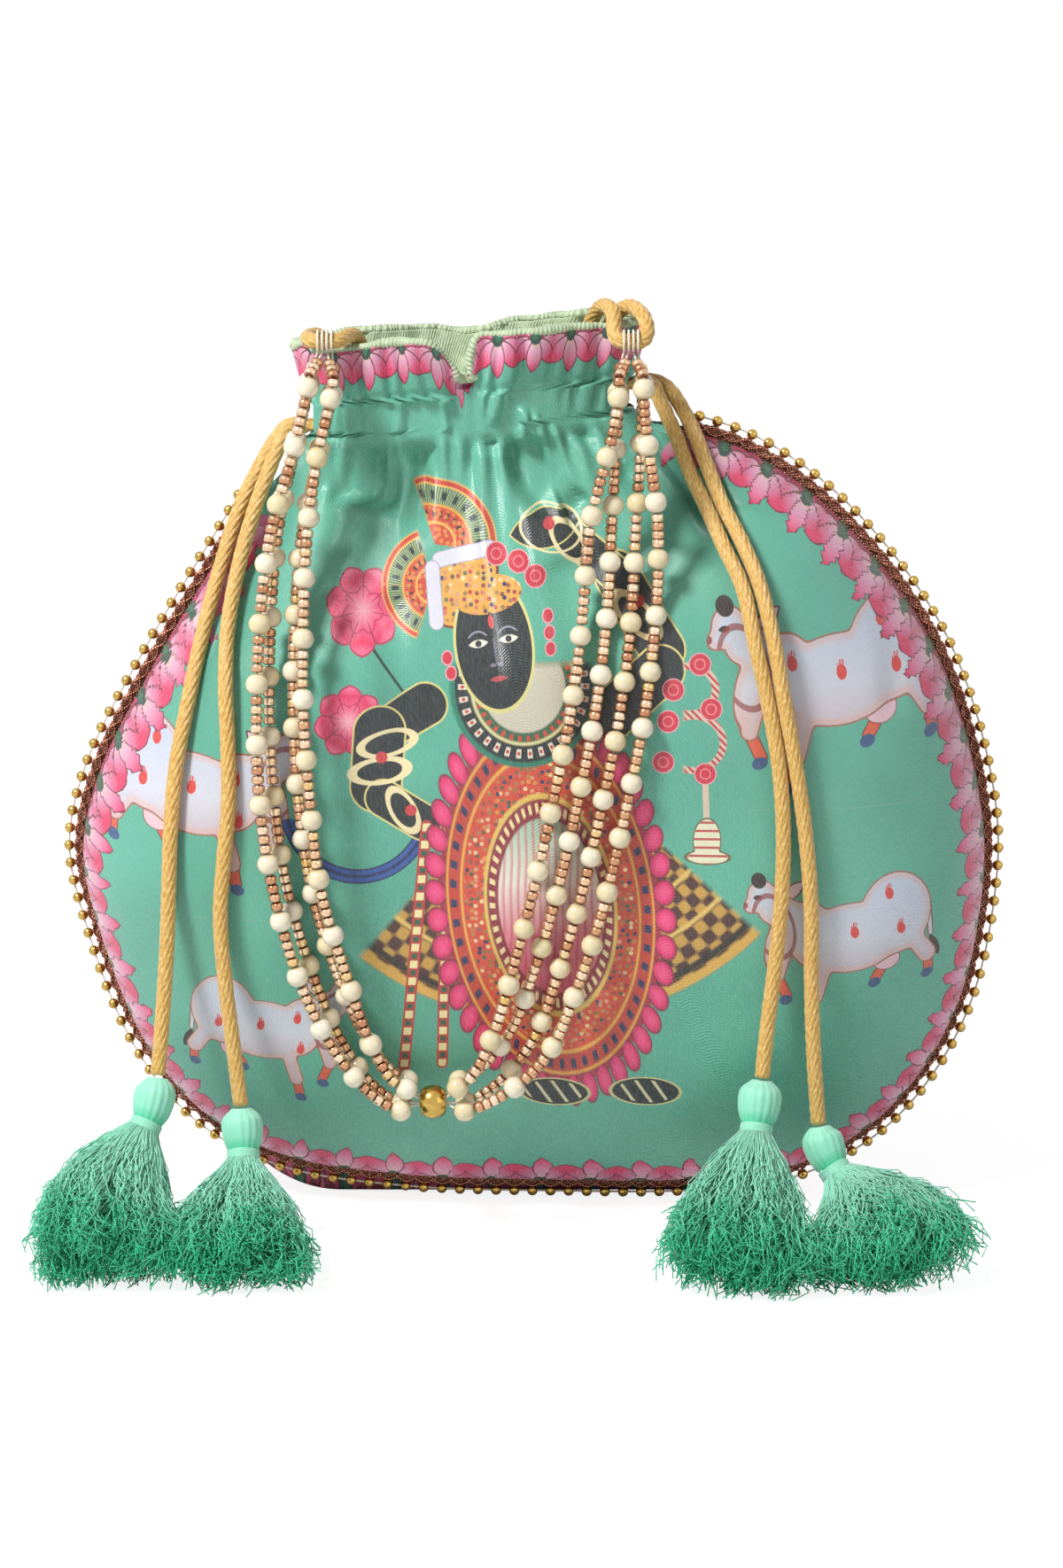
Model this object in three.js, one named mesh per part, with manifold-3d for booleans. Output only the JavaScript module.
// Gathered satin drawstring pouch with a beaded trim along its seam, a four-strand beaded handle,
// and two drawstrings that end in tassels. Millimetres, +Z up, the front faces -Y.
// The origin is on the flat base, and the pouch stands on the plane Z = 0.
import * as THREE from "three";
import { mergeVertices } from "three/addons/utils/BufferGeometryUtils.js";
import Module from "manifold-3d";

const wasm = await Module();
wasm.setup();

// Overall sizes of the pouch
const pouchWidth = 252;
const seamHeight = 213;
const frontDepth = 46;
const backDepth = 43;
const baseDepth = 54;

// Cloth and the gaps between its layers
const satinThickness = 0.8;
const liningThickness = 0.6;
const layerGap = 0.3;
const sideSeamGap = 0.3;
const liningGap = 1.6;

// Seam at the edge: how far its foot stands forward, and how round the panels close onto it
const seamForward = 20;
const seamRise = 90;
const edgeRounding = 48;
const fallBendSide = 0.25;
const fallBendDrop = 0.45;
const bellyHeight = 0.38;
const bellySpan = 0.92;
const panelRimInset = 4.2;

// Neck, drawstring channel and ruffle
const neckX = -16;
const neckHalfWidth = 44;
const neckHalfDepth = 16.5;
const neckDrop = 3;
const neckSlope = 0.08;
const neckBlend = 62;
const channelHeight = 11;
const channelStitch = 1;
const ruffleHeight = 13;
const ruffleFlare = 2;
const ruffleWave = 1.1;
const ruffleWaves = 5;
const ruffleDip = 6;
const ruffleDipBack = 1.8;
const ruffleDipWidth = 7;

// Drawstring cord and the slits that it leaves by
const cordRadius = 1.9;
const cordSides = 8;
const cordClearance = 0.75;
const slitHalfWidth = 6;
const exitSpread = 2.4;
const turnLead = 0.45;
const turnSteps = 16;
const turnStartHeight = 3.1;
const turnGap = 0.5;
const exitReach = neckHalfWidth + 1.3;
const slitLead = 2;
const looseSteps = 20;

// Trim along the seam: a tape, and a chain of balls at its edge
const tapeThickness = 0.8;
const tapeWidth = 5.6;
const ballRadius = 1.45;
const ballPitch = 4.9;
const chainThreadRadius = 0.45;
const trimGap = 0.3;
const tapeEndShare = 0.006;
const tapeInset = ballRadius + trimGap;
const liningRimGap = 1.1;
const liningRimInset = tapeInset + tapeWidth + liningRimGap;

// Beaded handle
const pearlRadius = 2.9;
const seedRadius = 1.6;
const seedStep = 2.6;
const seedEnd = 0.6;
const beadPitch = 15;
const threadRadius = 0.45;
const strandGap = 0.45;
const strandSides = 5;
const handleBallRadius = 4.4;
const handleBoreRadius = 2.8;
const boreThreadShare = 0.21;
const gatherFrom = 4;
const gatherOver = 3;
const openOver = 6;
const ownRestOver = 10;
const handleRest = 0.5;
const handleAxisY = -(neckHalfDepth + handleRest);
const handleDrop = 1;
const handleAxisZ = seamHeight - neckDrop + channelHeight + ruffleHeight - handleDrop;
const loopInsetLeft = 7;
const loopInsetRight = 2.5;
const legRoom = 3.5;
const eyeToPearl = 8.6;
const ballToPearl = 9;
const pearlStagger = 2.2;
const eyeThread = 0.45;
const loopSteps = 28;
const eyeClearance = 0.35;
const eyePitch = 2 * eyeThread + 0.3;

// Tassels
const bindingRadius = 0.6;
const tasselSides = 12;
const floorGap = 0.2;

// The seam's outline seen from the front, as shares of half the width and of the seam's height
const outlineShape = [
  [-0.603, 0.901], [-0.825, 0.69], [-0.952, 0.545], [-0.992, 0.441], [-0.96, 0.338],
  [-0.857, 0.192], [-0.722, 0.099], [-0.54, 0.042], [-0.278, 0.016], [0.04, 0.009],
  [0.357, 0.01], [0.571, 0.028], [0.778, 0.099], [0.937, 0.23], [1.0, 0.394],
  [0.984, 0.526], [0.873, 0.718], [0.667, 0.878], [0.476, 0.962], [0.294, 1.0],
];

// The section of the base, from the seam backwards: shares of the depth, and heights over the floor
const baseSection = [[0, null], [0.09, 0], [0.42, 0], [0.76, 0], [0.93, 4], [0.99, 14], [1, 30]];

// The flat base ends at this share of the half width, and where its seam rises
const baseFlatShare = 0.42;
const baseBlendShare = 0.38;
const baseSeamShare = 0.05;
const baseSeamBlend = 0.2;

const panelColumns = 28;
const liningColumns = panelColumns;
const edgeRows = baseSection.length - 1;
const bodyRows = 4;

const satinMint = new THREE.MeshStandardMaterial({ color: 0x6fb89b, roughness: 0.35, metalness: 0 });
const liningSage = new THREE.MeshStandardMaterial({ color: 0xb9c79a, roughness: 0.6, metalness: 0 });
const laceTape = new THREE.MeshStandardMaterial({ color: 0x9a6a52, roughness: 0.5, metalness: 0.3 });
const brassBall = new THREE.MeshStandardMaterial({ color: 0xb8964f, roughness: 0.25, metalness: 1 });
const pearlBead = new THREE.MeshStandardMaterial({ color: 0xe6dfc4, roughness: 0.25, metalness: 0.1 });
const goldCord = new THREE.MeshStandardMaterial({ color: 0xcf9f4a, roughness: 0.4, metalness: 0 });
const tasselThread = new THREE.MeshStandardMaterial({ color: 0x4fc79d, roughness: 0.6, metalness: 0 });

const clamp01 = (t) => Math.min(Math.max(t, 0), 1);
const smooth = (t) => clamp01(t) ** 2 * (3 - 2 * clamp01(t));
const mix = (a, b, t) => a + (b - a) * t;
const range = (count) => Array.from({ length: count }, (_, i) => i);

// A closed geometry from points and faces given by index, turned so that its faces point out
function closedGeometry(points, faces) {
  let volume = 0;
  const position = [];
  for (const face of faces) {
    const [a, b, c] = face.map((i) => points[i]);
    volume += a.dot(new THREE.Vector3().crossVectors(b, c));
  }
  for (const face of faces) {
    const turned = volume < 0 ? [face[0], face[2], face[1]] : face;
    for (const i of turned) position.push(...points[i].toArray());
  }
  const geometry = new THREE.BufferGeometry();
  geometry.setAttribute("position", new THREE.Float32BufferAttribute(position, 3));
  return geometry;
}

const quad = (a, b, c, d) => [[a, b, c], [a, c, d]];

function solidOf(geometry) {
  const bare = geometry.index ? geometry.toNonIndexed() : geometry.clone();
  bare.deleteAttribute("normal");
  bare.deleteAttribute("uv");
  const merged = mergeVertices(bare, 1e-3);
  return new wasm.Manifold(new wasm.Mesh({
    numProp: 3,
    vertProperties: merged.attributes.position.array,
    triVerts: new Uint32Array(merged.index.array),
  }));
}

function geometryOf(solid) {
  const mesh = solid.getMesh();
  const geometry = new THREE.BufferGeometry();
  geometry.setAttribute("position", new THREE.BufferAttribute(new Float32Array(mesh.vertProperties), 3));
  geometry.setIndex(new THREE.BufferAttribute(new Uint32Array(mesh.triVerts), 1));
  return geometry;
}

// A loft along centres with a radius at each, or a half width and a half height, closed flat at both
// ends, and flattened where it would reach under the lowest level
function beadLoft(centres, radii, sides, lowest = -Infinity) {
  const points = [];
  const faces = [];
  const last = centres.length - 1;
  let across = new THREE.Vector3(1, 0, 0);
  centres.forEach((centre, j) => {
    const along = new THREE.Vector3().subVectors(centres[Math.min(j + 1, last)], centres[Math.max(j - 1, 0)]);
    along.normalize();
    if (Math.abs(across.dot(along)) > 0.95) across = new THREE.Vector3(0, 1, 0);
    across = across.clone().addScaledVector(along, -across.dot(along)).normalize();
    const up = new THREE.Vector3().crossVectors(along, across);
    const [wide, high] = [radii[j]].flat().concat(radii[j]);
    for (const i of range(sides)) {
      const angle = (2 * Math.PI * i) / sides;
      const point = centre.clone().addScaledVector(across, wide * Math.cos(angle));
      point.addScaledVector(up, high * Math.sin(angle));
      point.z = Math.max(point.z, lowest);
      points.push(point);
    }
  });
  const at = (j, i) => j * sides + (i % sides);
  for (const j of range(last)) {
    for (const i of range(sides)) faces.push(...quad(at(j, i), at(j, i + 1), at(j + 1, i + 1), at(j + 1, i)));
  }
  for (const i of range(sides - 2)) {
    faces.push([at(0, 0), at(0, i + 2), at(0, i + 1)], [at(last, 0), at(last, i + 1), at(last, i + 2)]);
  }
  return closedGeometry(points, faces);
}

// A tube of round section along a smooth curve through the points
function cordTube(points, radius, steps, closed = false) {
  const section = new THREE.Shape();
  for (const i of range(cordSides)) {
    const angle = (2 * Math.PI * i) / cordSides;
    const place = [radius * Math.cos(angle), radius * Math.sin(angle)];
    if (i === 0) section.moveTo(...place);
    else section.lineTo(...place);
  }
  const path = new THREE.CatmullRomCurve3(points, closed, "centripetal");
  return new THREE.ExtrudeGeometry(section, { steps, extrudePath: path, bevelEnabled: false });
}

const vectors = (list) => list.map((p) => new THREE.Vector3(...p));

// The seam: its outline from the left end of the trim, down and round the foot, to the right end
const seamY = (z) => -seamForward * (1 - smooth(z / seamRise));
const seamPlaces = outlineShape.map(([x, z]) => new THREE.Vector3((x * pouchWidth) / 2, 0, z * seamHeight));
const seamLine = new THREE.CatmullRomCurve3(seamPlaces, false, "centripetal");
seamLine.arcLengthDivisions = 600;

// The seam's point at a share of its length, moved inwards in the plane of the outline
function seamPoint(share, inset) {
  const point = seamLine.getPointAt(clamp01(share));
  const tangent = seamLine.getTangentAt(clamp01(share));
  return new THREE.Vector3(point.x - tangent.z * inset, 0, point.z + tangent.x * inset);
}
const seamSamples = range(161).map((i) => seamLine.getPointAt(i / 160));

const neckBottom = seamHeight - neckDrop;
const neckZ = (x) => neckBottom + neckSlope * x;
const channelTop = (x) => neckZ(x) + channelHeight;
const ruffleTop = (x) => channelTop(x) + ruffleHeight;

// One layer of cloth: the outer face of the satin has inset 0, and the layers inside it have more.
// channelInset is its inset along the drawstring channel, and rim is where it closes onto the seam.
function clothLayer({ inset, channelInset, rim, flange }) {
  const halfWidth = neckHalfWidth - inset;
  const halfDepth = neckHalfDepth - inset;

  // The line down the cloth from the neck to the seam, as a curve in the plane of the outline
  function fallLine(u) {
    const foot = seamPoint(u, rim + inset);
    const x = neckX - halfWidth * Math.cos(Math.PI * u);
    const head = new THREE.Vector3(x, 0, neckZ(x));
    const span = head.distanceTo(foot);
    const bend = new THREE.Vector3(mix(head.x, foot.x, fallBendSide), 0, head.z - fallBendDrop * span);
    return new THREE.QuadraticBezierCurve3(foot, bend, head);
  }

  const sideSamples = [0, 1].flatMap((u) => fallLine(u).getPoints(12));

  function edgeDistance(point) {
    const toSeam = Math.min(...seamSamples.map((p) => p.distanceTo(point))) - rim - inset;
    const toSide = Math.min(...sideSamples.map((p) => p.distanceTo(point)));
    return Math.max(Math.min(toSeam, toSide), 0);
  }

  const roundEdge = (t) => Math.sqrt(1 - (1 - clamp01(t)) ** 2);
  const belly = (z, depth) => depth * (1 - ((z / seamHeight - bellyHeight) / bellySpan) ** 2) - inset;

  // A point below the neck: u runs round the cloth, j counts rows up from the seam to the neck
  function bodyPoint(side, u, j) {
    const line = fallLine(u);
    const length = line.getLength();
    const rounding = Math.min(edgeRounding, 0.6 * length);
    const phi = (Math.min(j, edgeRows) / edgeRows) * (Math.PI / 2);
    const fromRim = j <= edgeRows
      ? rounding * (1 - Math.cos(phi))
      : mix(rounding, length, (j - edgeRows) / bodyRows);
    const point = line.getPointAt(clamp01(fromRim / length));
    const depth = side < 0 ? frontDepth : backDepth;
    const foot = seamY(point.z);
    const reach = belly(point.z, depth) - side * foot;
    let y = side * flange + foot + side * reach * roundEdge(edgeDistance(point) / edgeRounding);
    const neckShare = 1 - smooth((length - fromRim) / Math.min(neckBlend, length));
    y = mix(y, side * (sideSeamGap / 2 + halfDepth * Math.sin(Math.PI * u)), neckShare);
    let z = point.z;
    const seam = seamPoint(u, 0);
    const nearMiddle = 1 - smooth((Math.abs(seam.x) / (pouchWidth / 2) - baseFlatShare) / baseBlendShare);
    const nearFloor = 1 - smooth((seam.z / seamHeight - baseSeamShare) / baseSeamBlend);
    const onBase = nearMiddle * nearFloor;
    if (side > 0 && onBase > 0 && j <= edgeRows) {
      const [share, height] = baseSection[j];
      const seamFoot = seamY(share > 0 ? seam.z : point.z);
      const lead = share > 0 ? (rim - panelRimInset) * (1 - share) : 0;
      const underTape = rim > panelRimInset ? flange : tapeThickness / 2 + layerGap + inset;
      const baseY = seamFoot + underTape + lead + share * (baseDepth - inset);
      y = mix(y, baseY, onBase);
      z = mix(z, height === null ? z : height + inset, onBase);
    }
    return new THREE.Vector3(point.x, y, Math.max(z, inset));
  }

  // A point of the neck: j counts rows up from the foot of the channel to the ruffle's edge
  function neckPoint(side, u, j) {
    const inChannel = j === 1 || j === 2;
    const edge = j === 4 ? 1 : 0;
    const wave = edge * ruffleWave * Math.cos(2 * Math.PI * ruffleWaves * u);
    const give = inChannel ? inset - channelInset : edge * ruffleFlare + wave;
    const x = neckX - (halfWidth + give) * Math.cos(Math.PI * u);
    const y = side * (sideSeamGap / 2 + (halfDepth + give) * Math.sin(Math.PI * u));
    const stitch = channelStitch;
    const heights = [neckZ(x), neckZ(x) + stitch, channelTop(x) - stitch, channelTop(x), ruffleTop(x)];
    const fold = edge * Math.exp(-(((x - neckX) / ruffleDipWidth) ** 2));
    const dip = fold * (side < 0 ? ruffleDip : ruffleDipBack);
    return new THREE.Vector3(x, y, heights[j] - dip);
  }

  return { bodyPoint, neckPoint };
}

const bodyRowCount = edgeRows + bodyRows;
const rowCount = bodyRowCount + 5;
const isSlitRow = (j) => j > bodyRowCount && j < bodyRowCount + 3;

function layerPoint(layer, side, u, j) {
  return j <= bodyRowCount ? layer.bodyPoint(side, u, j) : layer.neckPoint(side, u, j - bodyRowCount);
}

// A row's share round the cloth, which starts past the slit where the drawstrings come out
function openShare(u, j) {
  const start = isSlitRow(j) ? Math.asin(slitHalfWidth / neckHalfDepth) / Math.PI : 0;
  return mix(start, 1 - start, u);
}

const satinOutside = clothLayer({
  inset: 0, channelInset: 0, rim: panelRimInset, flange: tapeThickness / 2 + layerGap + satinThickness });
const satinInside = clothLayer({
  inset: satinThickness, channelInset: satinThickness,
  rim: panelRimInset, flange: tapeThickness / 2 + layerGap });
const liningInset = satinThickness + liningGap;
const channelRoom = satinThickness + 2 * cordClearance + 2 * cordRadius + layerGap;
const liningOutside = clothLayer({
  inset: liningInset, channelInset: channelRoom, rim: liningRimInset, flange: 0 });
const liningInside = clothLayer({
  inset: liningInset + liningThickness, channelInset: channelRoom + liningThickness,
  rim: liningRimInset, flange: 0 });

// One satin panel, front or back: two faces joined by a strip along each of its four edges
function satinPanel(side) {
  const points = [];
  const faces = [];
  const columns = panelColumns;
  for (const layer of [satinOutside, satinInside]) {
    for (const j of range(rowCount)) {
      for (const i of range(columns + 1)) points.push(layerPoint(layer, side, openShare(i / columns, j), j));
    }
  }
  const at = (face, j, i) => face * rowCount * (columns + 1) + j * (columns + 1) + i;
  for (const j of range(rowCount - 1)) {
    for (const i of range(columns)) {
      faces.push(...quad(at(0, j, i), at(0, j, i + 1), at(0, j + 1, i + 1), at(0, j + 1, i)));
      faces.push(...quad(at(1, j, i), at(1, j + 1, i), at(1, j + 1, i + 1), at(1, j, i + 1)));
    }
    faces.push(...quad(at(0, j, 0), at(0, j + 1, 0), at(1, j + 1, 0), at(1, j, 0)));
    faces.push(...quad(at(0, j, columns), at(1, j, columns), at(1, j + 1, columns), at(0, j + 1, columns)));
  }
  const top = rowCount - 1;
  for (const i of range(columns)) {
    faces.push(...quad(at(0, 0, i), at(1, 0, i), at(1, 0, i + 1), at(0, 0, i + 1)));
    faces.push(...quad(at(0, top, i), at(0, top, i + 1), at(1, top, i + 1), at(1, top, i)));
  }
  return closedGeometry(points, faces);
}

// The lining: a bag in one piece, whose rows run all the way round and close on the seam's line
function liningBag() {
  const points = [];
  const faces = [];
  const columns = liningColumns;
  const around = 2 * columns;
  const ringPoint = (layer, j, m) => {
    const side = m < columns ? -1 : 1;
    const u = m < columns ? m / columns : 2 - m / columns;
    const point = layerPoint(layer, side, u, j);
    if (m % columns === 0 && j <= bodyRowCount) point.y = seamY(point.z);
    if (m % columns === 0 && j > bodyRowCount) point.y = 0;
    return point;
  };
  for (const layer of [liningOutside, liningInside]) {
    for (const j of range(rowCount)) {
      for (const m of range(around)) points.push(ringPoint(layer, j, m));
    }
  }
  const fold = (j, m) => (j === 0 && m > columns ? around - m : m % around);
  const at = (face, j, m) => (face * rowCount + j) * around + fold(j, m % around);
  for (const j of range(rowCount - 1)) {
    for (const m of range(around)) {
      faces.push(...quad(at(0, j, m), at(0, j, m + 1), at(0, j + 1, m + 1), at(0, j + 1, m)));
      faces.push(...quad(at(1, j, m), at(1, j + 1, m), at(1, j + 1, m + 1), at(1, j, m + 1)));
    }
  }
  const top = rowCount - 1;
  for (const m of range(around)) {
    faces.push(...quad(at(0, top, m), at(0, top, m + 1), at(1, top, m + 1), at(1, top, m)));
  }
  return closedGeometry(points, faces);
}

// The tape that edges the seam: a flat band just inside the chain of balls
function seamTape() {
  const points = [];
  const faces = [];
  const steps = panelColumns;
  for (const k of range(steps + 1)) {
    const share = Math.min(Math.max(k / steps, tapeEndShare), 1 - tapeEndShare);
    for (const [across, face] of [[0, -1], [tapeWidth, -1], [tapeWidth, 1], [0, 1]]) {
      const point = seamPoint(share, tapeInset + across);
      point.y = seamY(point.z) + (face * tapeThickness) / 2;
      points.push(point);
    }
  }
  for (const k of range(steps)) {
    for (const i of range(4)) {
      const next = (i + 1) % 4;
      faces.push(...quad(4 * k + i, 4 * k + next, 4 * k + 4 + next, 4 * k + 4 + i));
    }
  }
  faces.push(...quad(3, 2, 1, 0), ...quad(4 * steps, 4 * steps + 1, 4 * steps + 2, 4 * steps + 3));
  return closedGeometry(points, faces);
}

// The chain of balls along the seam, each ball joined to the next by its thread
function ballChain() {
  const count = Math.floor(seamLine.getLength() / ballPitch);
  const centres = [];
  const radii = [];
  for (const k of range(2 * count + 1)) {
    const point = seamPoint(k / (2 * count), 0);
    point.y = seamY(point.z);
    centres.push(point);
    radii.push(k % 2 ? ballRadius : chainThreadRadius);
  }
  return beadLoft(centres, radii, 4);
}

// Drawstring in the channel: one turn round the neck, out through its slit at both ends
function channelTurn(side, height) {
  const a = neckHalfWidth - satinThickness - cordClearance - cordRadius;
  const b = neckHalfDepth - satinThickness - cordClearance - cordRadius;
  const turn = range(turnSteps + 1).map((k) => {
    const angle = mix(turnLead, 2 * Math.PI - turnLead, k / turnSteps);
    const x = neckX + side * a * Math.cos(angle);
    return new THREE.Vector3(x, -b * Math.sin(angle), neckZ(x) + height);
  });
  const inSlit = neckHalfWidth - slitLead;
  const out = [[inSlit - slitLead, exitSpread + 0.9], [inSlit, exitSpread], [exitReach, exitSpread]];
  const ends = [-1, 1].map((half) => out.map(([reach, y]) => {
    const x = neckX + side * reach;
    return new THREE.Vector3(x, half * y, neckZ(x) + height);
  }));
  return [...ends[0].reverse(), ...turn, ...ends[1]];
}
const turnLoft = (centres) => beadLoft(centres, centres.map(() => cordRadius), cordSides);
const leftTurnHeight = turnStartHeight;
const rightTurnHeight = leftTurnHeight + 2 * cordRadius + turnGap;

// The loose ends of the drawstrings lie on the pouch and hang to the tassels: points chosen by hand
const looseRoutes = {
  left_outer: [
    [-61.7, 2.4, 208.1], [-63.6, 2.4, 208.1], [-66.4, 0.8, 205.6], [-71, -3, 198.5], [-76.5, -7.5, 187.5],
    [-81.5, -14.5, 172.5], [-85.5, -23.5, 157.5], [-89, -32, 141], [-91.8, -38, 126], [-93.2, -42.5, 110.5],
    [-93.8, -45.5, 95], [-94.6, -48, 78], [-95.8, -50.8, 61.5], [-97, -54, 47.2],
  ],
  left_inner: [
    [-61.7, -2.4, 208.1], [-63.6, -2.4, 208.1], [-65.6, -4.2, 204.8], [-68.6, -7, 197.8],
    [-72.6, -11.5, 187], [-76.3, -17.8, 174], [-78.5, -27.6, 160.4], [-78.7, -36.8, 147], [-78, -42.3, 132],
    [-77.9, -46, 117.5], [-79.2, -48, 103.5], [-80.3, -49.4, 89], [-79.4, -51, 72.5], [-77.5, -53, 55.5],
    [-75.6, -55.2, 39.3],
  ],
  right_inner: [
    [29.6, -2.4, 219.8], [31.4, -2.4, 219.8], [33.2, -5.2, 216.4], [37.4, -9, 207.6], [41.3, -13.2, 198],
    [45.3, -19.2, 190], [49.4, -26.9, 181.5], [54.1, -34.6, 172.1], [57.1, -41.6, 158.8],
    [60.4, -44.8, 144.6], [63.4, -47.8, 127.5], [64.6, -49.6, 110], [64.3, -50.6, 93], [62.9, -51.6, 76],
    [61.1, -53.6, 60.5], [59.8, -55.5, 47],
  ],
  right_outer: [
    [29.6, 2.4, 219.8], [31.6, 2.4, 219.8], [35.4, 0.1, 218.4], [40.7, -6.7, 211.2], [45.3, -13.4, 200.7],
    [49.3, -18.6, 191.2], [54, -26.4, 182.8], [58.3, -34, 173.2], [61.8, -41, 159.8], [64.3, -45.2, 145.8],
    [67.9, -48, 126.5], [70.5, -49.6, 109], [72, -50.6, 91.5], [72.4, -51.8, 72], [73.2, -53.8, 53],
    [74.6, -55.8, 34.4],
  ],
};

// Tassels: their middle line from the top of the head to the cut ends, with half widths and half heights
const tasselLines = {
  left_outer: [
    [-97.1, -54.4, 46.4, 2.6, 2.6], [-97.5, -55.6, 43.4, 5.2, 5.2], [-98.6, -57.6, 38.6, 5, 5],
    [-100, -59.4, 35.2, 3.4, 3.4], [-102.6, -62.4, 30.6, 7.5, 6], [-106.5, -68, 22.4, 12, 8],
    [-109.2, -76, 14.4, 15.5, 8.6], [-109.6, -86, 8.4, 17, 7.4], [-109.6, -92, 6.6, 14, 5],
  ],
  left_inner: [
    [-75.5, -55.5, 38.4, 2.6, 2.6], [-75.3, -56.3, 35.6, 5.2, 5.2], [-75, -58.2, 30.8, 5, 5],
    [-74.8, -60.2, 27.2, 3.4, 3.4], [-74.8, -64, 22.6, 7, 5.6], [-75, -70.2, 16.6, 11, 7.2],
    [-75.6, -78, 11.4, 14, 7.2], [-76.4, -88, 7.8, 15.4, 6.6], [-76.6, -93.5, 6.2, 13, 4.6],
  ],
  right_inner: [
    [59.7, -55.8, 46.2, 2.6, 2.6], [59.4, -56.6, 43.4, 5.4, 5.4], [58.8, -58.4, 38.2, 5.2, 5.2],
    [58.2, -60.2, 34.4, 3.4, 3.4], [57.2, -63.6, 29.6, 7, 5.6], [55.6, -70.4, 21.6, 10.5, 7.4],
    [54, -79.4, 14, 13, 8.4], [52.6, -91, 8.4, 14.4, 7.4], [52.2, -97, 6.6, 12, 5.2],
  ],
  right_outer: [
    [74.8, -56.1, 33.6, 2.6, 2.6], [75.4, -57, 30.8, 5.2, 5], [77, -59.2, 26.6, 5, 5],
    [78.8, -61.4, 23.4, 3.4, 3.4], [82, -64.6, 20, 7.6, 6], [86, -70.6, 15.2, 13, 7.4],
    [88.4, -79, 11.6, 17.5, 7.4], [89, -89, 8.2, 19, 6.6], [89, -95, 6.4, 16, 4.8],
  ],
};
const bindingAt = 3;

// The handle hangs between the two loops. Its middle line from the left one to the right one is given as
// shares of the way across and of the height of its axis, with how far its strands spread.
const loopX = {
  left: neckX - neckHalfWidth + loopInsetLeft,
  right: neckX + neckHalfWidth - loopInsetRight,
};
const handleShape = [
  [0, 0.988, 0], [-0.015, 0.948, 0], [-0.059, 0.884, 0], [-0.112, 0.798, 0.15], [-0.135, 0.708, 0.25],
  [-0.14, 0.616, 0.3], [-0.125, 0.515, 0.35], [-0.087, 0.416, 0.3], [-0.006, 0.315, 0.3],
  [0.094, 0.234, 0.15], [0.206, 0.185, 0], [0.349, 0.17, 0], [0.499, 0.187, 0.1], [0.637, 0.24, 0.5],
  [0.721, 0.315, 0.7], [0.805, 0.416, 0.9], [0.869, 0.515, 1], [0.927, 0.616, 1], [0.961, 0.71, 1],
  [0.976, 0.803, 0.7], [0.991, 0.888, 0.2], [0.999, 0.948, 0], [1, 0.988, 0],
];
const ballPoint = 11;
const handleLine = handleShape.map(([across, high, spread]) => (
  [mix(loopX.left, loopX.right, across), high * handleAxisZ, spread]));

// The Y of a ball's centre that rests on the front of the pouch, at a place seen from the front
const frontCloth = new THREE.Mesh(satinPanel(-1), new THREE.MeshBasicMaterial({ side: THREE.DoubleSide }));
const backwards = new THREE.Vector3(0, 1, 0);
const touchShare = 0.7;
const touchPlaces = range(8).map((i) => [(i * Math.PI) / 4, touchShare]);
function restY(x, z, radius) {
  const rests = [[0, 0], ...touchPlaces].map(([angle, share]) => {
    const across = radius * share;
    const [placeX, placeZ] = [x + across * Math.cos(angle), z + across * Math.sin(angle)];
    const start = new THREE.Vector3(placeX, -4 * frontDepth, placeZ);
    const [hit] = new THREE.Raycaster(start, backwards).intersectObject(frontCloth);
    return hit ? hit.point.y - radius * Math.sqrt(1 - share ** 2) : handleAxisY;
  });
  return Math.min(handleAxisY, ...rests);
}

// The middle line of the handle in the plane of the outline, and where the ball is on it
const middleCurve = new THREE.CatmullRomCurve3(
  handleLine.map(([x, z]) => new THREE.Vector3(x, 0, z)), false, "centripetal");
const spreadCurve = new THREE.CatmullRomCurve3(
  handleLine.map(([, , spread], i) => new THREE.Vector3(i, spread, 0)), false, "centripetal");
const fineSteps = 1200;
middleCurve.arcLengthDivisions = fineSteps;
const handleLength = middleCurve.getLength();
const lengthToBall = middleCurve.getLengths()[Math.round((fineSteps * ballPoint) / (handleLine.length - 1))];
const ballShare = lengthToBall / handleLength;

// A taut line over the places: each moves forward to the straight line between any two others
function tautOver(values) {
  return values.map((value, i) => {
    let best = value;
    for (let a = 0; a < i; a += 1) {
      for (let b = i + 1; b < values.length; b += 1) {
        best = Math.min(best, mix(values[a], values[b], (i - a) / (b - a)));
      }
    }
    return best;
  });
}

const routeSteps = 150;
const pitchAcross = 2 * pearlRadius + strandGap;
function sideways(share, lateral) {
  const point = middleCurve.getPointAt(clamp01(share));
  const tangent = middleCurve.getTangentAt(clamp01(share));
  return new THREE.Vector3(point.x - tangent.z * lateral, 0, point.z + tangent.x * lateral);
}
const tautMiddle = tautOver(range(routeSteps + 1).map((k) => {
  const point = sideways(k / routeSteps, 0);
  return restY(point.x, point.z, pearlRadius + strandGap);
}));

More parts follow.
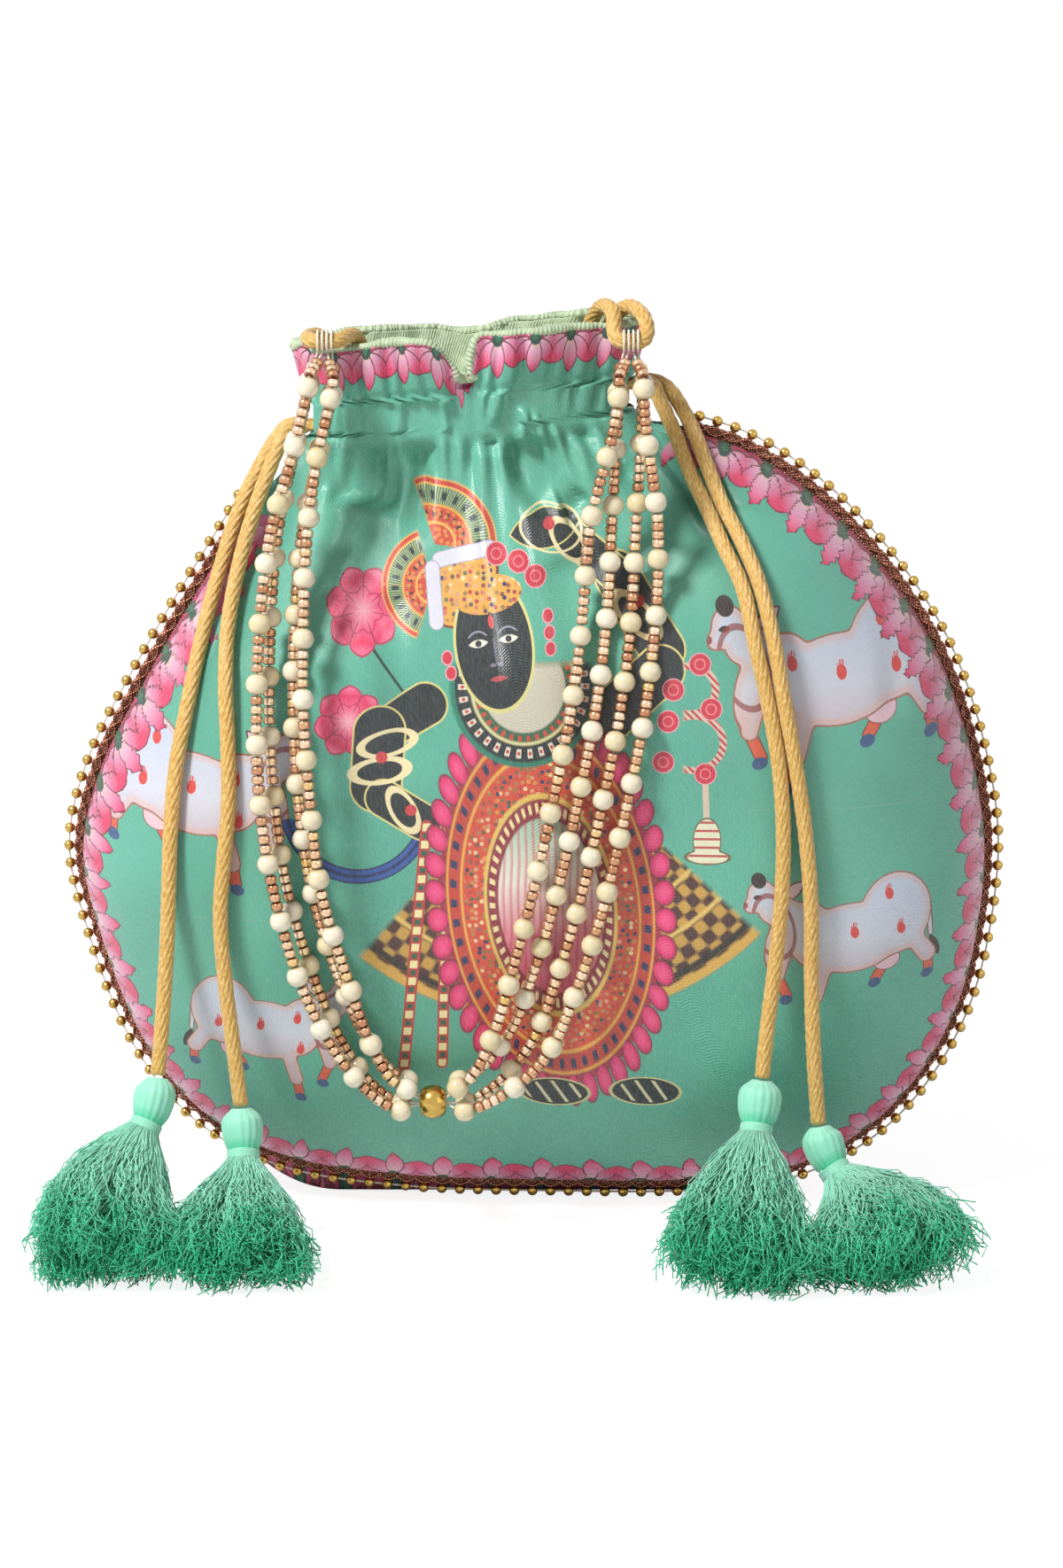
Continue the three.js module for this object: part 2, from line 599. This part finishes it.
// One strand's centre line: strand 0 and 1 lie on the pouch, 2 and 3 on them or beside them
function strandCurve(strand) {
  const half = pitchAcross / 2;
  const sign = strand % 2 ? 1 : -1;
  const over = strand > 1;
  const eyeOffset = sign * (over ? 0.5 : 1.5) * eyePitch;
  const spots = range(routeSteps + 1).map((k) => {
    const share = k / routeSteps;
    const spread = spreadCurve.getPoint(middleCurve.getUtoTmapping(share)).y;
    const angle = (clamp01(spread) * Math.PI) / 2;
    const lateral = sign * (half + (over ? pitchAcross * Math.sin(angle) : 0));
    return { share, lateral, layer: over ? pitchAcross * Math.cos(angle) : 0 };
  });
  const rests = tautOver(spots.map(({ share, lateral }) => {
    const point = sideways(share, lateral);
    return restY(point.x, point.z, pearlRadius + strandGap);
  }));
  const points = spots.map(({ share, lateral, layer }, k) => {
    const fromBall = Math.abs(share - ballShare) * handleLength;
    const fromEnd = Math.min(share, 1 - share) * handleLength;
    const gather = mix(boreThreadShare, 1, smooth((fromBall - gatherFrom) / gatherOver));
    const open = smooth(fromEnd / openOver);
    const across = mix(eyeOffset, gather * lateral, open);
    const ownRest = smooth((fromBall - gatherFrom) / ownRestOver);
    const rest = mix(tautMiddle[k], Math.min(tautMiddle[k], rests[k]), ownRest);
    const depth = half + gather * (layer - half);
    const point = sideways(share, across);
    point.y = mix(handleAxisY, rest - depth, open);
    return point;
  });
  const curve = new THREE.CatmullRomCurve3(points, false, "centripetal");
  curve.arcLengthDivisions = fineSteps;
  return curve;
}

// One strand: pearls at even steps with seed beads between them, on a thread with an eye at both ends
function strandPiece(strand) {
  const curve = strandCurve(strand);
  const length = curve.getLength();
  const mid = nearestLength(curve, ballCentre());
  const rings = [[0, threadRadius]];
  const firstPearl = eyeToPearl + pearlStagger * strand;
  for (const [from, to] of [[firstPearl, mid - ballToPearl], [mid + ballToPearl, length - firstPearl]]) {
    const count = Math.round((to - from) / beadPitch);
    rings.push([from - seedStep - seedEnd, threadRadius]);
    for (const k of range(count + 1)) {
      const s = mix(from, to, k / count);
      rings.push([s - seedStep, seedRadius], [s, pearlRadius], [s + seedStep, seedRadius]);
    }
    rings.push([to + seedStep + seedEnd, threadRadius]);
    if (to < mid) rings.push([mid - handleBallRadius, threadRadius], [mid + handleBallRadius, threadRadius]);
  }
  rings.push([length, threadRadius]);
  const centres = rings.map(([s]) => curve.getPointAt(clamp01(s / length)));
  let solid = solidOf(beadLoft(centres, rings.map(([, r]) => r), strandSides));
  for (const end of [curve.getPoint(0), curve.getPoint(1)]) {
    const eye = new THREE.TorusGeometry(eyeRadius, eyeThread, 4, 9);
    eye.rotateY(Math.PI / 2);
    eye.translate(end.x, handleAxisY, handleAxisZ);
    solid = solid.add(solidOf(eye));
  }
  return geometryOf(solid);
}

const eyeRadius = cordRadius + eyeClearance + eyeThread;
const ballCentre = () => {
  const point = sideways(ballShare, 0);
  point.y = tautMiddle[Math.round(ballShare * routeSteps)] - pitchAcross / 2;
  return point;
};

// The length along a curve at which it passes nearest to a place
function nearestLength(curve, place) {
  const lengths = curve.getLengths();
  let best = 0;
  lengths.forEach((_, i) => {
    const far = (k) => curve.getPoint(k / (lengths.length - 1)).distanceTo(place);
    if (far(i) < far(best)) best = i;
  });
  return lengths[best];
}

// The ball that gathers the strands, bored through along the handle
function gatherBall() {
  const ball = new THREE.SphereGeometry(handleBallRadius, 14, 10);
  const bore = new THREE.CylinderGeometry(handleBoreRadius, handleBoreRadius, 3 * handleBallRadius, 14);
  bore.rotateX(Math.PI / 2);
  const centre = ballCentre();
  const bored = solidOf(ball.toNonIndexed()).subtract(solidOf(bore.toNonIndexed()));
  const geometry = geometryOf(bored);
  const along = middleCurve.getTangentAt(ballShare);
  const step = Math.round(ballShare * routeSteps);
  along.y = ((tautMiddle[step + 1] - tautMiddle[step - 1]) * routeSteps) / (2 * handleLength);
  geometry.lookAt(along);
  geometry.translate(centre.x, centre.y, centre.z);
  return geometry;
}

// The cord loop at each end of the handle: both legs come out of the mouth over the ruffle's edge.
// Its points are measured from the handle's axis, and where it crosses the edge it lies on it.
function loopRoute(name) {
  const onEdge = cordRadius;
  const straight = 1.5 * eyePitch + 1;
  const turn = straight + 0.7 * cordRadius;
  const back = legRoom - cordRadius;
  const legs = {
    left: [
      [4, 15, -14], [2.4, 13, -5.4], [-2, 9.5, onEdge - 2], [-turn - 0.2, 5, onEdge - 1.5],
      [-turn, back, 0.1], [-straight, 0, 0], [0, 0, 0], [straight, 0, 0], [turn + 0.2, back, 0.1],
      [5.4, 5, onEdge - 1.5], [7.4, 9, onEdge - 2], [9.4, 12, -5.4], [10.5, 13, -14],
    ],
    right: [
      [-12, 19.5, -7], [-10.2, 17, 2], [-7.2, 12, onEdge + 5.5], [-4.6, 5.8, onEdge + 4.9],
      [-turn, back, onEdge - 0.3], [-straight, 0, 0], [0, 0, 0], [straight, 0, 0],
      [turn, back, onEdge - 0.3],
      [3.4, 6, onEdge + 3.5], [-0.4, 12.4, onEdge + 5.3], [-4.8, 17.6, 2.4], [-6.6, 19.6, -7],
    ],
  };
  return legs[name].map(([x, y, z]) => [loopX[name] + x, handleAxisY + y, handleAxisZ + z]);
}

const group = new THREE.Group();
function addPiece(name, geometry, material) {
  const mesh = new THREE.Mesh(geometry, material);
  mesh.name = name;
  group.add(mesh);
}

addPiece("front_panel", satinPanel(-1), satinMint);
addPiece("back_panel", satinPanel(1), satinMint);
addPiece("lining", liningBag(), liningSage);
addPiece("seam_tape", seamTape(), laceTape);
addPiece("ball_chain", ballChain(), brassBall);
addPiece("drawstring_left", turnLoft(channelTurn(-1, leftTurnHeight)), goldCord);
addPiece("drawstring_right", turnLoft(channelTurn(1, rightTurnHeight)), goldCord);
for (const name of ["left", "right"]) {
  const route = new THREE.CatmullRomCurve3(vectors(loopRoute(name)), false, "centripetal");
  addPiece(`handle_loop_${name}`, turnLoft(route.getSpacedPoints(loopSteps)), goldCord);
}
for (const strand of range(4)) addPiece(`handle_strand_${strand + 1}`, strandPiece(strand), pearlBead);
addPiece("handle_ball", gatherBall(), brassBall);
for (const [name, route] of Object.entries(looseRoutes)) {
  addPiece(`drawstring_end_${name}`, cordTube(vectors(route), cordRadius, looseSteps), goldCord);
  const centres = vectors(tasselLines[name].map((row) => row.slice(0, 3)));
  const halves = tasselLines[name].map((row) => row.slice(3));
  addPiece(`tassel_${name}`, beadLoft(centres, halves, tasselSides, floorGap), tasselThread);
  const ringRadius = halves[bindingAt][0] + layerGap + bindingRadius;
  const ring = new THREE.TorusGeometry(ringRadius, bindingRadius, 5, tasselSides);
  ring.lookAt(new THREE.Vector3().subVectors(centres[bindingAt + 1], centres[bindingAt - 1]));
  ring.translate(...centres[bindingAt].toArray());
  addPiece(`tassel_binding_${name}`, ring, tasselThread);
}

export default group;
